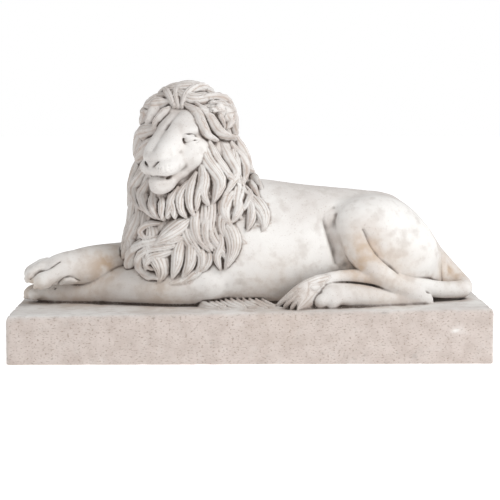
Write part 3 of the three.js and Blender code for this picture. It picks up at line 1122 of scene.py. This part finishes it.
class Shader:
    """Short ways to add nodes to a material"""

    def __init__(self, name):
        self.material = bpy.data.materials.new(name)
        self.material.use_nodes = True
        self.tree = self.material.node_tree
        self.surface = self.tree.nodes["Principled BSDF"]

    def add(self, kind, inputs, **settings):
        node = self.tree.nodes.new(kind)
        for name, value in settings.items():
            setattr(node, name, value)
        for name, value in inputs.items():
            if isinstance(value, bpy.types.NodeSocket):
                self.tree.links.new(value, node.inputs[name])
            else:
                node.inputs[name].default_value = value
        return node

    def attribute(self, name):
        return self.add("ShaderNodeAttribute", {}, attribute_name=name).outputs["Fac"]

    def noise(self, place, scale, detail=4.0):
        inputs = {"Vector": place, "Scale": scale, "Detail": detail}
        return self.add("ShaderNodeTexNoise", inputs).outputs["Fac"]

    def ramp(self, value, start, end, low=0.0, high=1.0):
        inputs = {"Value": value, "From Min": start, "From Max": end, "To Min": low, "To Max": high}
        node = self.add("ShaderNodeMapRange", inputs, interpolation_type="SMOOTHSTEP")
        return node.outputs["Result"]

    def math(self, operation, a, b, clamp=True):
        return self.add("ShaderNodeMath", {0: a, 1: b}, operation=operation, use_clamp=clamp).outputs[0]

    def waves(self, turns, count):
        """Ridges across a lock: 1 on their backs and 0 between them"""
        angle = self.math("MULTIPLY", turns, count * np.pi, clamp=False)
        return self.math("ABSOLUTE", self.math("SINE", angle, 0.0, clamp=False), 0.0, clamp=False)

    def mix(self, share, a, b):
        return self.add("ShaderNodeMix", {0: share, 6: a, 7: b}, data_type="RGBA").outputs[2]

    def product(self, a, b):
        return self.math("MULTIPLY", a, b)


PALE_STONE = (0.735, 0.72, 0.7, 1)
GREY_STONE = (0.59, 0.555, 0.53, 1)
MOTTLE = (0.5, 0.46, 0.43, 1)
SIDE_STONE = (0.54, 0.475, 0.44, 1)
SIDE_DARK = (0.46, 0.395, 0.36, 1)
SIDE_CRACK = (0.30, 0.245, 0.205, 1)
# a warm tan for stains, which also paints shade low on the figure and in its folds
STAIN_AND_SHADE = (0.46, 0.34, 0.24, 1)
# a dusky brown that paints shade, with dirt, in hollows and between strands of hair
SHADE_AND_DIRT = (0.46, 0.385, 0.34, 1)
HAIRS_IN_STRAND = 3
# a near-black brown that paints the shade, with grime, in narrow grooves and crevices
GRIME_AND_DEEP_SHADE = (0.085, 0.065, 0.053, 1)
FRESH = (0.86, 0.85, 0.83, 1)


def side_colour(shader, place, middle):
    """The plinth's sides: mottled, with short dark cracks"""
    squashed = shader.add("ShaderNodeMapping", {"Vector": place, "Scale": (1.0, 1.0, 1.8)})
    cracks = shader.noise(squashed.outputs["Vector"], 170.0, 6.0)
    colour = shader.mix(shader.ramp(middle, 0.3, 0.75), SIDE_STONE, SIDE_DARK)
    return shader.mix(shader.ramp(cracks, 0.54, 0.66, 0.0, 0.8), colour, SIDE_CRACK)


def stone_material():
    shader = Shader("cast_stone")
    place = shader.add("ShaderNodeTexCoord", {}).outputs["Object"]
    broad = shader.noise(place, 7.0)
    middle = shader.noise(place, 38.0, 6.0)
    fine = shader.noise(place, 210.0, 5.0)
    specks = shader.noise(place, 330.0, 2.0)
    groove, crevice, hollow = (shader.attribute(name) for name in ("groove", "crevice", "hollow"))
    stain_and_shade, side, fresh = (shader.attribute(name) for name in ("stain_and_shade", "side", "fresh"))
    turns = shader.attribute("strand")
    strand = shader.waves(turns, 1)
    hair = shader.waves(turns, HAIRS_IN_STRAND)

    colour = shader.mix(shader.ramp(broad, 0.35, 0.7), PALE_STONE, GREY_STONE)
    colour = shader.mix(shader.ramp(middle, 0.48, 0.7, 0.0, 0.5), colour, MOTTLE)
    colour = shader.mix(side, colour, side_colour(shader, place, middle))
    # warm stain colour, which also paints shade under the belly, low on the sides and in folds
    stain_and_shade_share = shader.product(stain_and_shade, shader.ramp(middle, 0.3, 0.62, 0.35, 1.0))
    colour = shader.mix(stain_and_shade_share, colour, STAIN_AND_SHADE)
    # dirt and painted shade in broad hollows, such as the plinth's top beside the figure
    hollow_dirt_and_shade = shader.product(shader.ramp(hollow, 0.52, 0.74), shader.ramp(middle, 0.3, 0.65, 0.25, 0.6))
    colour = shader.mix(hollow_dirt_and_shade, colour, SHADE_AND_DIRT)
    # painted shade and dirt in the grooves between strands of hair
    strand_groove_shade = shader.ramp(strand, 0.85, 0.1, 0.0, 0.95)
    strand_groove_shade = shader.product(strand_groove_shade, shader.ramp(middle, 0.3, 0.6, 0.4, 1.0))
    colour = shader.mix(strand_groove_shade, colour, SHADE_AND_DIRT)
    # painted shade in the finer grooves between hairs
    hair_groove_shade = shader.product(shader.ramp(hair, 0.7, 0.0, 0.0, 0.45), shader.ramp(middle, 0.35, 0.6))
    colour = shader.mix(hair_groove_shade, colour, SHADE_AND_DIRT)
    # grime and painted shade in narrow grooves, weaker on the plinth's sides
    groove_grime_and_shade = shader.product(shader.ramp(groove, 0.54, 0.74), shader.ramp(middle, 0.3, 0.62, 0.3, 1.0))
    groove_grime_and_shade = shader.product(groove_grime_and_shade, shader.ramp(side, 0.0, 1.0, 1.0, 0.3))
    colour = shader.mix(groove_grime_and_shade, colour, GRIME_AND_DEEP_SHADE)
    # grime and painted shade, near black, in the deeper crevices
    deep = shader.product(shader.ramp(crevice, 0.57, 0.76), shader.ramp(fine, 0.3, 0.6, 0.75, 1.0))
    colour = shader.mix(deep, colour, GRIME_AND_DEEP_SHADE)
    spotted = shader.product(shader.ramp(specks, 0.62, 0.72), shader.ramp(broad, 0.4, 0.6, 0.3, 0.9))
    colour = shader.mix(spotted, colour, SIDE_DARK)
    colour = shader.mix(fresh, colour, FRESH)
    shader.tree.links.new(colour, shader.surface.inputs["Base Color"])
    shader.surface.inputs["Roughness"].default_value = 0.88

    grain = shader.math("ADD", fine, shader.ramp(specks, 0.6, 0.72, 0.35, 0.0))
    rough = shader.add("ShaderNodeBump", {"Height": grain, "Strength": 0.35, "Distance": 0.0012})
    ridges = {"Height": hair, "Strength": 0.4, "Distance": 0.0008, "Normal": rough.outputs["Normal"]}
    combed = shader.add("ShaderNodeBump", ridges)
    shader.tree.links.new(combed.outputs["Normal"], shader.surface.inputs["Normal"])
    return shader.material


# Floor, light and camera


def stage():
    bpy.ops.mesh.primitive_plane_add(size=30)
    floor = bpy.context.object
    floor.name = "floor"
    material = bpy.data.materials.new("floor")
    material.use_nodes = True
    shader = material.node_tree.nodes["Principled BSDF"]
    shader.inputs["Base Color"].default_value = (0.9, 0.9, 0.9, 1)
    shader.inputs["Roughness"].default_value = 0.9
    shader.inputs["Emission Color"].default_value = (1, 1, 1, 1)
    shader.inputs["Emission Strength"].default_value = 0.55
    floor.data.materials.append(material)


def area_light(name, place, size, power):
    data = bpy.data.lights.new(name, "AREA")
    data.size = size
    data.energy = power
    lamp = bpy.data.objects.new(name, data)
    lamp.location = place
    lamp.rotation_euler = (Vector((0, 0, 0.3)) - lamp.location).to_track_quat("-Z", "Y").to_euler()
    bpy.context.scene.collection.objects.link(lamp)


def lights():
    """One soft lamp from the upper right, in a white room that is darker overhead"""
    area_light("key", (2.2, -2.2, 3.0), 1.2, 92)
    world = bpy.data.worlds.new("world")
    bpy.context.scene.world = world
    world.use_nodes = True
    nodes, links = world.node_tree.nodes, world.node_tree.links
    direction = nodes.new("ShaderNodeTexCoord")
    parts = nodes.new("ShaderNodeSeparateXYZ")
    links.new(direction.outputs["Generated"], parts.inputs[0])
    ramp = nodes.new("ShaderNodeMapRange")
    links.new(parts.outputs["Z"], ramp.inputs["Value"])
    for name, value in (("From Min", 0.05), ("From Max", 0.5), ("To Min", 1.0), ("To Max", 0.55)):
        ramp.inputs[name].default_value = value
    links.new(ramp.outputs["Result"], nodes["Background"].inputs["Strength"])
    nodes["Background"].inputs["Color"].default_value = (1, 1, 1, 1)


def camera():
    data = bpy.data.cameras.new("camera")
    data.sensor_width = SENSOR_WIDTH
    data.lens = SENSOR_WIDTH * FOCAL_PIXELS / PHOTO_PIXELS
    obj = bpy.data.objects.new("camera", data)
    obj.location = Vector(CAMERA_AT) * MM
    obj.rotation_euler = np.radians(CAMERA_TURN)
    bpy.context.scene.collection.objects.link(obj)
    bpy.context.scene.camera = obj


camera()
lights()
stage()
bpy.context.scene.view_settings.view_transform = "Standard"
lion = statue()
lion.data.materials.append(stone_material())
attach(lion, "root")
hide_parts("lion_with_plinth")
